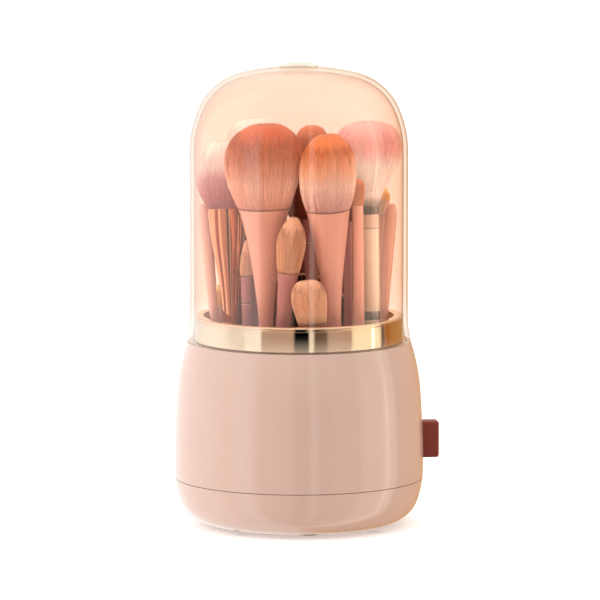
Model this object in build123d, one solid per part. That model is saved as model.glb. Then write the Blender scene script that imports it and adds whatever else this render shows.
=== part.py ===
from build123d import *
import os
from math import acos, cos, degrees, radians, sin

# Electric brush cleaner with a brush holder that nests in its wash bowl and a clear dome that
# covers both.  Millimetres.  Z is up, the front is -Y, and the feet stand on Z = 0.

os.makedirs("parts", exist_ok=True)

# ---------------------------------------------------------------- driving dimensions
# Motor base, outside
BASE_RADIUS = 61.0
UNDERSIDE = 1.2
LOWER_ARCS = ((48.3, 19.6), (15.5, 60.4), (31.6, 10.0))
UPPER_ARCS = ((516.0, 4.2), (101.0, 14.2))
WALL = 2.4
SEAM = 23.2
SEAM_GAP = 0.3
BASE_TOP = 90.2
DECK_THICKNESS = 4.4

# Dome, outside
DOME_RADIUS = 53.3
DOME_APEX = 224.5
DOME_WALL = 2.2
DOME_BOTTOM = 90.4
FLARE_TOP = 103.0
FLARE_RADIUS = 53.7
SIDE_ARC = 51.0
SIDE_TURN = 25.0
SHOULDER_ARC = 30.0
CROWN_ARC = 120.0
BADGE_RADIUS = 9.3
BADGE_TOP = 225.6

# Wash bowl and drive line
BOWL_RADIUS = 45.8
BOWL_WALL = 1.8
BOWL_FLOOR = 45.5
BOWL_BOTTOM = 43.5
BOWL_TOP = 90.1
BOWL_POST_CIRCLE = 30.0
SPINDLE_RADIUS = 2.5
RUNNING_FIT = 0.05
GEAR_MODULE = 1.0
GEAR_TEETH = 36
PINION_TEETH = 12
GEAR_LOW = 35.0
GEAR_HIGH = 40.0
MOTOR_X = -GEAR_MODULE * (GEAR_TEETH + PINION_TEETH) / 2
MOTOR_RADIUS = 12.2
DISC_RADIUS = 37.0
DISC_LOW = 48.6
PAD_LOW = 50.6
NUB_TOP = 57.5

# Chassis
PLATE_LOW = 30.7
PLATE_HIGH = 32.7
PLATE_RADIUS = 41.0
CHASSIS_CIRCLE = 50.0
CHASSIS_ANGLES = (60, 180, 300)
BOWL_POST_ANGLES = (0, 120, 240)
CORNER_SCREW = 33.0
FOOT_CIRCLE = 35.0

# Screws: where the heads of the chassis screws and of the cover screws begin
CHASSIS_HEAD = PLATE_LOW - 2.0
COVER_HEAD = 17.8
FOOT_RADIUS = 5.0

# Joint between body shell and bottom cover: a tongue of the cover inside the shell
TONGUE_INNER = 56.4
TONGUE_OUTER = 57.9

# Battery and circuit board
CELL_Y = -24.0
CELL_Z = 14.2
CELL_RADIUS = 9.1
CELL_HALF_LENGTH = 24.75
CELL_TIP = 0.9
CONTACT_INNER = 26.2
CONTACT_OUTER = 26.8
BOARD_LOW = 24.0
BOARD_HIGH = 25.6
BOARD_POINTS = ((-16, 22), (-16, 48), (16, 22), (16, 48))
MOTOR_SCREW_Y = 8.5

# Rim of the wash bowl, which hangs in a recess of the deck
BOWL_RIM_RADIUS = 50.4
BOWL_RIM_LOW = 88.8
GASKET_INNER = 48.4
GASKET_OUTER = 50.0
GASKET_LOW = 88.1

# Brush holder
HOLDER_TURN = -7.7
CUP_RADIUS = 45.3
CUP_WALL = 1.4
CUP_BOTTOM = 59.0
CUP_FLOOR = 61.0
CUP_SHOULDER = 92.1
CUP_RIM = 102.0
RIM_RADIUS = 48.3
RIM_WALL = 1.7
RING_RADIUS = 49.6
RING_BOTTOM = 90.4
FOOT_HEIGHT = CUP_FLOOR + 0.5
DIVIDER_THICKNESS = 2.2
DIVIDER_ARC = 24.2
DIVIDER_CENTRE = 98.9
DIVIDER_SHIFT = 2.0

# Power button
BUTTON_Z = 40.5
BUTTON_TIP = 69.0
BUTTON_HALF_WIDTH = 4.6
BUTTON_HALF_HEIGHT = 9.05
BUTTON_GAP = 0.25
SWITCH_BOARD_X = 48.6
SWITCH_FACE_X = 50.0
FLANGE_X = 55.9

# Charging port
PORT_FLAT = 59.6
PORT_Z = 27.3
FLAP_PIN_X = -8.3
FLAP_PIN_Y = 60.25
FLAP_PIN_RADIUS = 0.6
FLAP_HALF_HEIGHT = 2.9

ON_FLOOR = (Align.CENTER, Align.CENTER, Align.MIN)


# ---------------------------------------------------------------- helpers
def cylinder(radius, low, high, x=0.0, y=0.0):
    """An upright cylinder between two heights."""
    return Pos(x, y, low) * Cylinder(radius, high - low, align=ON_FLOOR)


def lying(radius, low, high, y, z):
    """A cylinder along X."""
    rod = Rot(0, 90, 0) * Cylinder(radius, high - low)
    return Pos((low + high) / 2, y, z) * rod


def tube(inner, outer, low, high, x=0.0, y=0.0):
    """An upright tube between two heights."""
    return cylinder(outer, low, high, x, y) - cylinder(inner, low - 1, high + 1, x, y)


def block(x_span, y_span, z_span):
    """A box given by its low and high sides."""
    spans = (x_span, y_span, z_span)
    middle = [(low + high) / 2 for low, high in spans]
    size = [high - low for low, high in spans]
    return Pos(*middle) * Box(*size)


def turned(edges):
    """A solid of revolution from a closed outline of (radius, height) edges."""
    outline = make_face(Curve() + list(edges))
    return revolve(Plane.XZ * outline, Axis.Z)


def arc_chain(start, heading, arcs, inset, curl):
    """Tangent arcs from start; curl is +1 where a left turn bends towards the axis, else -1.

    The inset line runs parallel to the outline, on the side of the axis."""
    edges = []
    point = start
    for radius, turn in arcs:
        bend = 1 if turn * curl > 0 else -1
        direction = (cos(radians(heading)), sin(radians(heading)))
        arc = JernArc(point, direction, radius - bend * inset, turn)
        edges.append(arc)
        point = arc @ 1
        heading += turn
    return edges


def polar(radius, angle):
    return radius * cos(radians(angle)), radius * sin(radians(angle))


def group(shapes):
    """Separate solids of one node."""
    return Compound(children=[solid for shape in shapes for solid in shape.solids()])


# ---------------------------------------------------------------- base outline
def widest_height():
    """Height of the widest circle, so that the lower arcs end flat on the underside."""
    height = UNDERSIDE
    angle = 0.0
    for radius, turn in LOWER_ARCS:
        height += radius * (sin(radians(angle + turn)) - sin(radians(angle)))
        angle += turn
    return height


def base_form(inset):
    """The base as a filled form, its surface set in by a wall thickness."""
    start = (BASE_RADIUS - inset, widest_height())
    down = arc_chain(start, -90, [(r, -t) for r, t in LOWER_ARCS], inset, -1)
    up = arc_chain(start, 90, UPPER_ARCS, inset, 1)
    foot = down[-1] @ 1
    head = up[-1] @ 1
    closing = [
        Line(foot, (0, foot.Y)),
        Line((0, foot.Y), (0, head.Y)),
        Line((0, head.Y), head),
    ]
    return turned(down + up + closing)


def slab(low, high):
    return cylinder(2 * BASE_RADIUS, low, high)


def base_wall(low, high):
    """The base's outer wall between two heights."""
    return (base_form(0) - base_form(WALL)) & slab(low, high)


# ---------------------------------------------------------------- bottom cover and feet
def corner_points():
    return [(x, y) for x in (-CORNER_SCREW, CORNER_SCREW) for y in (-CORNER_SCREW, CORNER_SCREW)]


def foot_points():
    return [polar(FOOT_CIRCLE, angle) for angle in (0, 90, 180, 270)]


def rubber_feet():
    feet = []
    for x, y in foot_points():
        foot = cylinder(FOOT_RADIUS, 0, 2 * UNDERSIDE, x, y)
        feet.append(chamfer(foot.edges().group_by(Axis.Z)[0], 0.4))
    return group(feet)


def bottom_cover():
    top = SEAM - SEAM_GAP / 2
    cover = base_wall(0, top)
    cover += tube(TONGUE_INNER, TONGUE_OUTER + 1.7, top - 3.5, top) & base_form(WALL / 2)
    cover += tube(TONGUE_INNER, TONGUE_OUTER, top - 0.5, top + 2.9)
    inside = base_form(WALL / 2)
    for x, y in corner_points():
        cover += cylinder(4.8, 2.2, 24.5, x, y) & inside
    for x in (-15, 15):
        cradle = block((x - 1, x + 1), (CELL_Y - 10, CELL_Y + 10), (3.2, 11.5))
        cover += cradle - lying(CELL_RADIUS + 0.15, -30, 30, CELL_Y, CELL_Z)
    for side in (-1, 1):
        outer = sorted((side * CONTACT_OUTER, side * (CONTACT_OUTER + 1.6)))
        cover += block(outer, (CELL_Y - 8, CELL_Y + 8), (3.2, 20))
    for x, y in BOARD_POINTS:
        cover += cylinder(2.6, 3.2, BOARD_LOW, x, y) & inside
        cover -= cylinder(0.9, 12, BOARD_LOW + 0.5, x, y)
    for x, y in corner_points():
        cover -= cylinder(3.1, 0, 20, x, y)
        cover -= cylinder(1.6, 0, 25, x, y)
    for x, y in foot_points():
        cover -= cylinder(FOOT_RADIUS + 0.1, 0, 2 * UNDERSIDE, x, y)
    return cover - block((-9, 9), (52, 60), (top, top + 4))


def pan_screw(x, y, head_low, shank_top, head_radius, shank_radius, head_height):
    """A screw driven upwards, with a cross recess in its head."""
    screw = cylinder(head_radius, head_low, head_low + head_height, x, y)
    screw += cylinder(shank_radius, head_low + head_height - 0.2, shank_top, x, y)
    arm = head_radius * 0.55
    depth = (head_low - 0.1, head_low + head_height * 0.45)
    screw -= block((x - arm, x + arm), (y - 0.35, y + 0.35), depth)
    screw -= block((x - 0.35, x + 0.35), (y - arm, y + arm), depth)
    return screw


def cover_screws():
    return group([pan_screw(x, y, COVER_HEAD, 34, 2.7, 1.45, 2.2) for x, y in corner_points()])


# ---------------------------------------------------------------- upper body shell
def spoke(angle, inner, outer, width, low, high):
    """An upright rib along a radius."""
    rib = block((inner, outer), (-width / 2, width / 2), (low, high))
    return Rot(0, 0, angle) * rib


def button_window(gap):
    half_width = BUTTON_HALF_WIDTH + gap
    half_height = BUTTON_HALF_HEIGHT + gap
    window = block(
        (BUTTON_TIP - 14, BUTTON_TIP),
        (-half_width, half_width),
        (BUTTON_Z - half_height, BUTTON_Z + half_height),
    )
    return fillet(window.edges().filter_by(Axis.X), 1.8)


def switch_rails():
    """Two upright channels on the shell that hold the switch board by its sides."""
    rails = []
    for side in (-1, 1):
        rail = block((48.0, 58.4), sorted((side * 7.4, side * 10.0)), (29.5, 51.5))
        slot = block((48.5, 50.1), sorted((side * 7.0, side * 8.65)), (30.4, 52))
        rails.append(rail - slot)
    return rails


def body_shell():
    bottom = SEAM + SEAM_GAP / 2
    deck_low = BASE_TOP - DECK_THICKNESS
    shell = base_form(0) - (base_form(WALL) & slab(0, deck_low))
    shell &= slab(bottom, BASE_TOP)
    inside = base_form(WALL / 2)
    for angle in (45, 135, 225, 315):
        shell += spoke(angle, 48.5, 60, 2.0, 27, 40) & inside
    for x, y in corner_points():
        shell += cylinder(3.6, 24.6, 40, x, y)
        shell -= cylinder(1.5, 24, 36, x, y)
    for angle in CHASSIS_ANGLES:
        x, y = polar(CHASSIS_CIRCLE, angle)
        shell += cylinder(3.5, PLATE_HIGH, 45, x, y)
        shell += spoke(angle, CHASSIS_CIRCLE + 2, 60, 2.0, PLATE_HIGH + 1.5, 45) & inside
        shell -= cylinder(1.1, PLATE_HIGH - 1, 42, x, y)
    for rail in switch_rails():
        shell += rail & inside
    shell += block((-8, 8), (57.4, 59.9), (bottom, 31.5)) & inside
    shell -= button_window(BUTTON_GAP)
    pocket_height = (PORT_Z - FLAP_HALF_HEIGHT - 0.3, PORT_Z + FLAP_HALF_HEIGHT + 0.3)
    shell -= block((FLAP_PIN_X - 0.9, 8.4), (PORT_FLAT, 63), pocket_height)
    shell -= block((-4.8, 4.8), (55, 63), (PORT_Z - 1.95, PORT_Z + 1.95))
    shell -= cylinder(BOWL_RADIUS + 2.1, deck_low - 1, BASE_TOP + 1)
    shell -= cylinder(BOWL_RIM_RADIUS + 0.2, BOWL_RIM_LOW - 0.1, BASE_TOP + 1)
    shell -= tube(GASKET_INNER - 0.1, GASKET_OUTER + 0.1, GASKET_LOW, BOWL_RIM_LOW + 0.2)
    return shell


# ---------------------------------------------------------------- chassis and drive line
def chassis_plate():
    plate = cylinder(PLATE_RADIUS, PLATE_LOW, PLATE_HIGH)
    for angle in CHASSIS_ANGLES:
        x, y = polar(CHASSIS_CIRCLE, angle)
        plate += spoke(angle, 30, CHASSIS_CIRCLE, 9, PLATE_LOW, PLATE_HIGH)
        plate += cylinder(4.5, PLATE_LOW, PLATE_HIGH, x, y)
        plate -= cylinder(1.5, PLATE_LOW - 1, PLATE_HIGH + 1, x, y)
    plate += cylinder(7.2, PLATE_LOW - 2, PLATE_HIGH + 1.5)
    plate -= cylinder(4.5, PLATE_LOW - 3, PLATE_HIGH + 3)
    for angle in BOWL_POST_ANGLES:
        x, y = polar(BOWL_POST_CIRCLE, angle)
        plate -= cylinder(1.4, PLATE_LOW - 1, PLATE_HIGH + 1, x, y)
    plate -= cylinder(3.4, PLATE_LOW - 1, PLATE_HIGH + 1, MOTOR_X)
    for y in (-MOTOR_SCREW_Y, MOTOR_SCREW_Y):
        plate -= cylinder(1.1, PLATE_LOW - 1, PLATE_HIGH + 1, MOTOR_X, y)
    for angle in (30, 330):
        plate -= Rot(0, 0, angle) * cylinder(6.5, PLATE_LOW - 1, PLATE_HIGH + 1, 24)
    return plate


def chassis_screws():
    points = [polar(CHASSIS_CIRCLE, angle) for angle in CHASSIS_ANGLES]
    return group([pan_screw(x, y, CHASSIS_HEAD, 40, 2.5, 1.05, 2.0) for x, y in points])


def bowl_screws():
    points = [polar(BOWL_POST_CIRCLE, angle) for angle in BOWL_POST_ANGLES]
    return group([pan_screw(x, y, CHASSIS_HEAD, 40, 2.5, 1.05, 2.0) for x, y in points])


def motor_can():
    can = cylinder(MOTOR_RADIUS, 8.0, PLATE_LOW, MOTOR_X)
    can = fillet(can.edges().group_by(Axis.Z)[-1], 1.2)
    can -= cylinder(MOTOR_RADIUS - 0.9, 7, PLATE_LOW - 1.2, MOTOR_X)
    can -= cylinder(2.2, PLATE_LOW - 2, PLATE_LOW + 1, MOTOR_X)
    for y in (-MOTOR_SCREW_Y, MOTOR_SCREW_Y):
        can -= cylinder(0.95, PLATE_LOW - 2, PLATE_LOW + 1, MOTOR_X, y)
    return can


def motor_end_cap():
    cap = cylinder(MOTOR_RADIUS, 6.0, 7.95, MOTOR_X)
    cap += cylinder(MOTOR_RADIUS - 1.1, 7.5, 10.5, MOTOR_X)
    cap -= cylinder(MOTOR_RADIUS - 2.6, 8.0, 11, MOTOR_X)
    cap += tube(1.1, 3.0, 7.5, 11, MOTOR_X)
    cap -= cylinder(1.1, 7.4, 12, MOTOR_X)
    for y in (-6, 6):
        cap += block((MOTOR_X - 1.4, MOTOR_X + 1.4), (y - 0.3, y + 0.3), (4.2, 6.5))
    return cap


def motor_screws():
    screws = []
    for y in (-MOTOR_SCREW_Y, MOTOR_SCREW_Y):
        screw = cylinder(1.9, PLATE_HIGH, PLATE_HIGH + 1.4, MOTOR_X, y)
        screw += cylinder(0.9, PLATE_LOW - 3.5, PLATE_HIGH + 0.2, MOTOR_X, y)
        screws.append(screw)
    return group(screws)


def motor_shaft():
    shaft = cylinder(1.0, 8.4, 40.6, MOTOR_X)
    shaft += cylinder(8.8, 13, 27, MOTOR_X)
    for angle in range(0, 360, 60):
        slot = spoke(angle, 7.0, 10, 2.2, 12, 28)
        shaft -= Pos(MOTOR_X, 0, 0) * slot
    return shaft


def gear(teeth, bore, low, high, phase):
    """A spur gear with straight flanks; phase is the angle of its first tooth."""
    pitch = GEAR_MODULE * teeth / 2
    root = pitch - 1.25 * GEAR_MODULE
    tip = pitch + 0.95 * GEAR_MODULE
    share = 360 / teeth
    points = []
    for index in range(teeth):
        middle = phase + index * share
        for radius, part in ((root, -0.34), (tip, -0.12), (tip, 0.12), (root, 0.34)):
            points.append(polar(radius, middle + part * share))
    outline = make_face(Polyline(*points, close=True))
    return Pos(0, 0, low) * extrude(outline, high - low) - cylinder(bore, low - 1, high + 1)


def motor_pinion():
    pinion = gear(PINION_TEETH, 1.02, GEAR_LOW, GEAR_HIGH, 180 / PINION_TEETH)
    return Pos(MOTOR_X, 0, 0) * pinion


def drive_gear():
    wheel = gear(GEAR_TEETH, SPINDLE_RADIUS + 0.02, GEAR_LOW, GEAR_HIGH, 0)
    wheel -= tube(6.5, 14.5, GEAR_LOW + 3, GEAR_HIGH + 1)
    wheel += cylinder(5.0, GEAR_LOW - 0.3, GEAR_LOW) - cylinder(SPINDLE_RADIUS + 0.02, 30, 50)
    for angle in range(0, 360, 60):
        x, y = polar(10.5, angle)
        wheel -= cylinder(2.4, GEAR_LOW - 1, GEAR_HIGH + 1, x, y)
    return wheel


def spindle():
    shaft = cylinder(SPINDLE_RADIUS, 26, 52)
    shaft = chamfer(shaft.edges().group_by(Axis.Z)[0], 0.5)
    return shaft - tube(2.1, 4, 27.0, 27.9)


def spindle_clip():
    clip = tube(2.15, 4.2, 27.05, 27.85)
    return clip - block((0, 6), (-1.4, 1.4), (26, 29))


def lower_bushing():
    bushing = tube(SPINDLE_RADIUS + RUNNING_FIT, 4.48, 28.6, 34.2)
    return bushing + tube(SPINDLE_RADIUS + RUNNING_FIT, 6.0, 28.0, 28.65)


def upper_bushing():
    return tube(SPINDLE_RADIUS + RUNNING_FIT, 4.48, 40.9, 43.88)


def shaft_seal():
    seal = tube(3.4, 5.98, 44.92, 47.8)
    return seal + tube(SPINDLE_RADIUS + 0.02, 3.6, 46.4, 47.0)


# ---------------------------------------------------------------- wash bowl
def wash_bowl():
    outer = cylinder(BOWL_RADIUS + BOWL_WALL, BOWL_BOTTOM, BOWL_RIM_LOW + 0.1)
    outer = fillet(outer.edges().group_by(Axis.Z)[0], 7.0)
    bowl = outer + cylinder(BOWL_RIM_RADIUS, BOWL_RIM_LOW, BOWL_TOP)
    bowl += cylinder(8.5, 40.7, 48.0)
    for angle in BOWL_POST_ANGLES:
        x, y = polar(BOWL_POST_CIRCLE, angle)
        bowl += cylinder(3.2, PLATE_HIGH, BOWL_BOTTOM + 0.5, x, y)
    inner = cylinder(BOWL_RADIUS, BOWL_FLOOR, BOWL_TOP + 5)
    inner = fillet(inner.edges().group_by(Axis.Z)[0], 5.2)
    bowl -= inner - cylinder(8.5, 40, 48.0)
    bowl -= cylinder(4.5, 40, 43.9)
    bowl -= cylinder(2.9, 40, 50)
    bowl -= cylinder(6.0, 44.9, 50)
    for angle in BOWL_POST_ANGLES:
        x, y = polar(BOWL_POST_CIRCLE, angle)
        bowl -= cylinder(1.15, PLATE_HIGH - 1, 42, x, y)
    return bowl


def bowl_gasket():
    ring = tube(GASKET_INNER, GASKET_OUTER, GASKET_LOW, BOWL_RIM_LOW)
    return fillet(ring.edges().group_by(Axis.Z)[-1], 0.25)


def disc_carrier():
    carrier = cylinder(DISC_RADIUS, DISC_LOW, PAD_LOW)
    carrier -= tube(12, DISC_RADIUS - 3, DISC_LOW - 1, DISC_LOW + 0.8)
    carrier += cylinder(6.0, PAD_LOW - 0.5, 53)
    carrier = fillet(carrier.edges().group_by(Axis.Z)[-1], 1.0)
    for angle in range(0, 360, 45):
        x, y = polar(22, angle)
        carrier -= cylinder(2.0, DISC_LOW - 1, PAD_LOW + 1, x, y)
    return carrier - cylinder(SPINDLE_RADIUS + 0.02, 40, 52.05)


def scrub_pad():
    pad = tube(6.3, DISC_RADIUS + 0.5, PAD_LOW, PAD_LOW + 2)
    for ring, count in ((11, 8), (17, 12), (23, 16), (29, 20), (34.5, 24)):
        top = NUB_TOP - 1.5 if count % 8 else NUB_TOP
        for index in range(count):
            x, y = polar(ring, 360 * index / count)
            nub = Pos(x, y, PAD_LOW + 1.8) * Cone(1.4, 0.8, top - PAD_LOW - 1.8, align=ON_FLOOR)
            pad += nub
    return pad


# ---------------------------------------------------------------- battery and electronics
def battery_cell():
    cell = lying(CELL_RADIUS, -CELL_HALF_LENGTH, CELL_HALF_LENGTH, CELL_Y, CELL_Z)
    cell = fillet(cell.edges().filter_by(GeomType.CIRCLE), 0.8)
    return cell + lying(3.2, CELL_HALF_LENGTH - 0.5, CELL_HALF_LENGTH + CELL_TIP, CELL_Y, CELL_Z)


def battery_contacts():
    plates = []
    for side, reach in ((-1, CELL_HALF_LENGTH), (1, CELL_HALF_LENGTH + CELL_TIP)):
        span = sorted((side * CONTACT_INNER, side * CONTACT_OUTER))
        plate = block(span, (CELL_Y - 6, CELL_Y + 6), (6, 21.5))
        ends = sorted((side * reach, side * (CONTACT_INNER + 0.1)))
        plates.append(plate + lying(2.4, ends[0], ends[1], CELL_Y, CELL_Z))
    return group(plates)


def circuit_board():
    board = block((-20, 20), (18, 52), (BOARD_LOW, BOARD_HIGH))
    board = fillet(board.edges().filter_by(Axis.Z), 1.5)
    for x, y in BOARD_POINTS:
        board -= cylinder(1.2, BOARD_LOW - 1, BOARD_HIGH + 1, x, y)
    return board


def board_components():
    chips = (
        ((-6, 2), (28, 36), 1.2),
        ((8, 13), (30, 34), 1.0),
        ((-14, -8), (26, 30), 2.0),
        ((-15, -11), (36, 42), 0.8),
        ((6, 9), (40, 43), 0.8),
        ((-4, 4), (19.5, 23), 2.4),
    )
    return group([block(x, y, (BOARD_HIGH, BOARD_HIGH + height)) for x, y, height in chips])


def board_screws():
    screws = []
    for x, y in BOARD_POINTS:
        screw = cylinder(1.9, BOARD_HIGH, BOARD_HIGH + 1.4, x, y)
        screws.append(screw + cylinder(0.85, 15, BOARD_HIGH + 0.2, x, y))
    return group(screws)


def usb_socket():
    body = block((-4.5, 4.5), (49.9, 57.2), (PORT_Z - 1.65, PORT_Z + 1.65))
    body = fillet(body.edges().filter_by(Axis.Y), 1.5)
    mouth = block((-4.1, 4.1), (51, 58), (PORT_Z - 1.25, PORT_Z + 1.25))
    mouth = fillet(mouth.edges().filter_by(Axis.Y), 1.15)
    tongue = block((-3.3, 3.3), (50.9, 56.4), (PORT_Z - 0.35, PORT_Z + 0.35))
    return body - mouth + tongue


def usb_cover():
    """A soft flap with a plug for the port and a rolled bead that it swings about."""
    low, high = PORT_Z - FLAP_HALF_HEIGHT, PORT_Z + FLAP_HALF_HEIGHT
    flap = block((FLAP_PIN_X, 8.0), (PORT_FLAT + 0.1, FLAP_PIN_Y + 0.65), (low, high))
    flap = fillet(flap.edges().filter_by(Axis.Y).group_by(Axis.X)[-1], 1.2)
    flap += cylinder(FLAP_PIN_RADIUS, low, high, FLAP_PIN_X, FLAP_PIN_Y)
    plug = block((-4.2, 4.25), (57.9, PORT_FLAT + 0.2), (PORT_Z - 1.6, PORT_Z + 1.6))
    plug = fillet(plug.edges().filter_by(Axis.Y), 1.2)
    return flap + plug


# ---------------------------------------------------------------- power button
def switch_board():
    return block((SWITCH_BOARD_X, SWITCH_FACE_X), (-8.5, 8.5), (30.5, 50.5))


def switch_body():
    body = block((SWITCH_FACE_X, 53.4), (-3, 3), (BUTTON_Z - 3, BUTTON_Z + 3))
    return body - lying(1.78, SWITCH_FACE_X + 0.3, 54, 0, BUTTON_Z)


def switch_plunger():
    return lying(1.7, 51.5, 54.4, 0, BUTTON_Z)


def power_button():
    cap = block(
        (57.0, BUTTON_TIP),
        (-BUTTON_HALF_WIDTH, BUTTON_HALF_WIDTH),
        (BUTTON_Z - BUTTON_HALF_HEIGHT, BUTTON_Z + BUTTON_HALF_HEIGHT),
    )
    cap = fillet(cap.edges().filter_by(Axis.X), 1.6)
    cap = fillet(cap.edges().group_by(Axis.X)[-1], 1.2)
    flange = block((FLANGE_X, 57.4), (-6.25, 6.25), (BUTTON_Z - 10.6, BUTTON_Z + 10.6))
    flange = fillet(flange.edges().filter_by(Axis.X), 2.0)
    return cap + flange + lying(2.2, 54.5, 56.5, 0, BUTTON_Z)


def button_spring():
    """A coil spring round the switch, between its board and the button's flange."""
    wire = 0.25
    mean = 5.0
    low, high = SWITCH_FACE_X + wire + 0.05, FLANGE_X - wire - 0.05
    path = Helix(pitch=(high - low) / 4, height=high - low, radius=mean)
    section = Plane(origin=path @ 0, z_dir=path % 0) * Circle(wire)
    coil = sweep(section, path=path, is_frenet=True)
    return Pos(low, 0, BUTTON_Z) * Rot(0, 90, 0) * coil


# ---------------------------------------------------------------- brush holder
def holder_cup():
    cup = cylinder(CUP_RADIUS, CUP_BOTTOM, CUP_SHOULDER)
    cup = fillet(cup.edges().group_by(Axis.Z)[0], 4.0)
    cup += cylinder(RIM_RADIUS, BOWL_TOP, CUP_RIM)
    inner = cylinder(CUP_RADIUS - CUP_WALL, CUP_FLOOR, CUP_RIM + 5)
    cup -= fillet(inner.edges().group_by(Axis.Z)[0], 2.6)
    cup -= cylinder(RIM_RADIUS - RIM_WALL, CUP_SHOULDER, CUP_RIM + 5)
    wall = cylinder(CUP_RADIUS - 0.5, CUP_BOTTOM + 1, CUP_SHOULDER - 1)
    for side_x in (-1, 1):
        for side_y in (-1, 1):
            x_span = sorted((side_x * 41.0, side_x * 45.0))
            y_span = sorted((side_y * 1.3, side_y * 2.8))
            cup += block(x_span, y_span, (CUP_FLOOR - 1, CUP_SHOULDER - 1)) & wall
    for circle, count in ((12, 4), (27, 10)):
        for index in range(count):
            x, y = polar(circle, 360 * index / count + 18)
            cup -= cylinder(2.2, CUP_BOTTOM - 1, CUP_FLOOR + 1, x, y)
    return in_holder(cup)


def trim_ring():
    """The plated band round the rim, with a rolled bead that laps over the rim."""
    inner = RIM_RADIUS + 0.05
    top = CUP_RIM + 0.9
    lap = RIM_RADIUS - RIM_WALL - 0.2
    bead = RING_RADIUS + 0.5
    outline = make_face(
        Polyline(
            (inner, RING_BOTTOM),
            (RING_RADIUS, RING_BOTTOM),
            (RING_RADIUS, top - 2.6),
            (bead, top - 2.3),
            (bead, top),
            (lap, top),
            (lap, CUP_RIM + 0.05),
            (inner, CUP_RIM + 0.05),
            close=True,
        )
    )
    corners = [corner for corner in outline.vertices() if corner.X > RING_RADIUS + 0.2]
    outline = fillet(corners, 0.8)
    return revolve(Plane.XZ * outline, Axis.Z)


def holder_divider():
    half = DIVIDER_THICKNESS / 2
    reach = CUP_RADIUS - CUP_WALL - 0.4
    plate = block((-reach, reach), (-half, half), (CUP_FLOOR + 2.7, 97))
    arch = Pos(DIVIDER_SHIFT, 0, DIVIDER_CENTRE) * Rot(90, 0, 0) * Cylinder(DIVIDER_ARC, DIVIDER_THICKNESS)
    plate += arch & block((-40, 40), (-5, 5), (90, 130))
    plate += block((-34, 34), (-half, half), (CUP_FLOOR, CUP_FLOOR + 3))
    return in_holder(plate)


def in_holder(shape):
    """Turns the holder's contents to where they stand in the base."""
    return Rot(0, 0, HOLDER_TURN) * shape


# ---------------------------------------------------------------- brushes
# Each brush is a handle, sometimes a ferrule, and a hair head on one leaning axis.  Stations
# are (height, radius) above the table; the axis runs from foot to top.
def lathe_side(stations, stretch):
    """Handle or ferrule: a smooth side through stations of (height, radius)."""
    points = [(radius, (height - FOOT_HEIGHT) * stretch) for height, radius in stations]
    low, high = points[0], points[-1]
    side = Line(low, high) if len(points) == 2 else Spline(*points)
    foot, head = (0, low[1]), (0, high[1])
    return turned([Line(foot, low), side, Line(high, head), Line(head, foot)])


def hair_head(stations, tip, stretch, pointed):
    """A hair head from its root through its stations to a round or pointed tip on the axis."""
    points = [(radius, (height - FOOT_HEIGHT) * stretch) for height, radius in stations]
    end = (0, (tip - FOOT_HEIGHT) * stretch)
    into = (-0.55, 1.0) if pointed else (-1.0, 0.0)
    side = Spline(*points, end, tangents=((0.35, 1.0), into))
    start = (0, points[0][1])
    return turned([Line(start, points[0]), side, Line(end, start)])


def brush(foot, top, handle, hair=None, ferrule=None, flat=1.0, pointed=False):
    """foot is (x, y) on the cup floor; top is (x, y, z) of the tip of the axis."""
    base = Vector(foot[0], foot[1], FOOT_HEIGHT)
    axis = Vector(*top) - base
    stretch = axis.length / (top[2] - FOOT_HEIGHT)
    solids = [lathe_side(handle, stretch)]
    if ferrule:
        solids.append(lathe_side(ferrule, stretch))
    if hair:
        solids.append(hair_head(hair, top[2], stretch, pointed))
    if flat != 1.0:
        solids = [scale(solid, by=(1.0, flat, 1.0)) for solid in solids]
    place = Plane(origin=base, x_dir=(1, 0, 0), z_dir=axis)
    return in_holder(group([place * solid for solid in solids]))


def powder_brush():
    cone = ((FOOT_HEIGHT, 4.0), (80, 3.5), (100, 3.4), (118.5, 5.1), (137, 7.7), (157.4, 12.4))
    hair = ((157.4, 12.3), (168.4, 16.1), (180, 18.1), (191, 16.0), (197.2, 9.8))
    return brush((-15.3, -20.0), (-17.4, -22.0, 199.1), cone, hair)


def blush_brush():
    cone = ((FOOT_HEIGHT, 3.9), (80, 3.4), (101, 3.5), (118.5, 4.8), (137, 7.3), (157.6, 10.5))
    hair = ((157.6, 10.4), (168, 13.0), (176, 13.4), (186, 11.8), (192.5, 7.6))
    return brush((19.1, -23.0), (12.1, -33.5, 195.0), cone, hair)


def bronzer_brush():
    cone = ((FOOT_HEIGHT, 3.0), (120, 3.0), (166, 4.6))
    return brush((8.0, 17.5), (6.4, 20.0, 194.4), cone, ((166, 4.5), (184, 8.2)))


def concealer_brush():
    cone = ((FOOT_HEIGHT, 2.9), (101, 3.2), (118, 4.0), (127.6, 4.8))
    hair = ((127.6, 4.7), (136, 6.0), (143.3, 6.6), (149, 5.2), (153.4, 3.0))
    return brush((-11.7, -29.0), (-2.2, -37.0, 155.3), cone, hair)


def flat_brush():
    handle = ((FOOT_HEIGHT, 3.2), (80, 3.4), (92, 4.6))
    ferrule = ((92, 4.7), (103, 6.3))
    hair = ((103, 6.2), (109, 7.5), (117.5, 8.1), (123.2, 5.9))
    return brush((11.0, -35.0), (4.1, -42.0, 125.3), handle, hair, ferrule, flat=0.3)


def brow_brush():
    handle = ((FOOT_HEIGHT, 2.9), (140, 3.1))
    ferrule = ((140, 3.2), (151.4, 3.2))
    return brush((9.1, -9.0), (4.2, -10.5, 168), handle, ((151.4, 3.1), (159, 3.7)), ferrule)


def angled_brush():
    handle = ((FOOT_HEIGHT, 3.6), (110, 4.2), (150, 4.8))
    return brush((0.5, 6.6), (1.0, 5.8, 174), handle, ((150, 4.7), (160, 5.6)))


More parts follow.
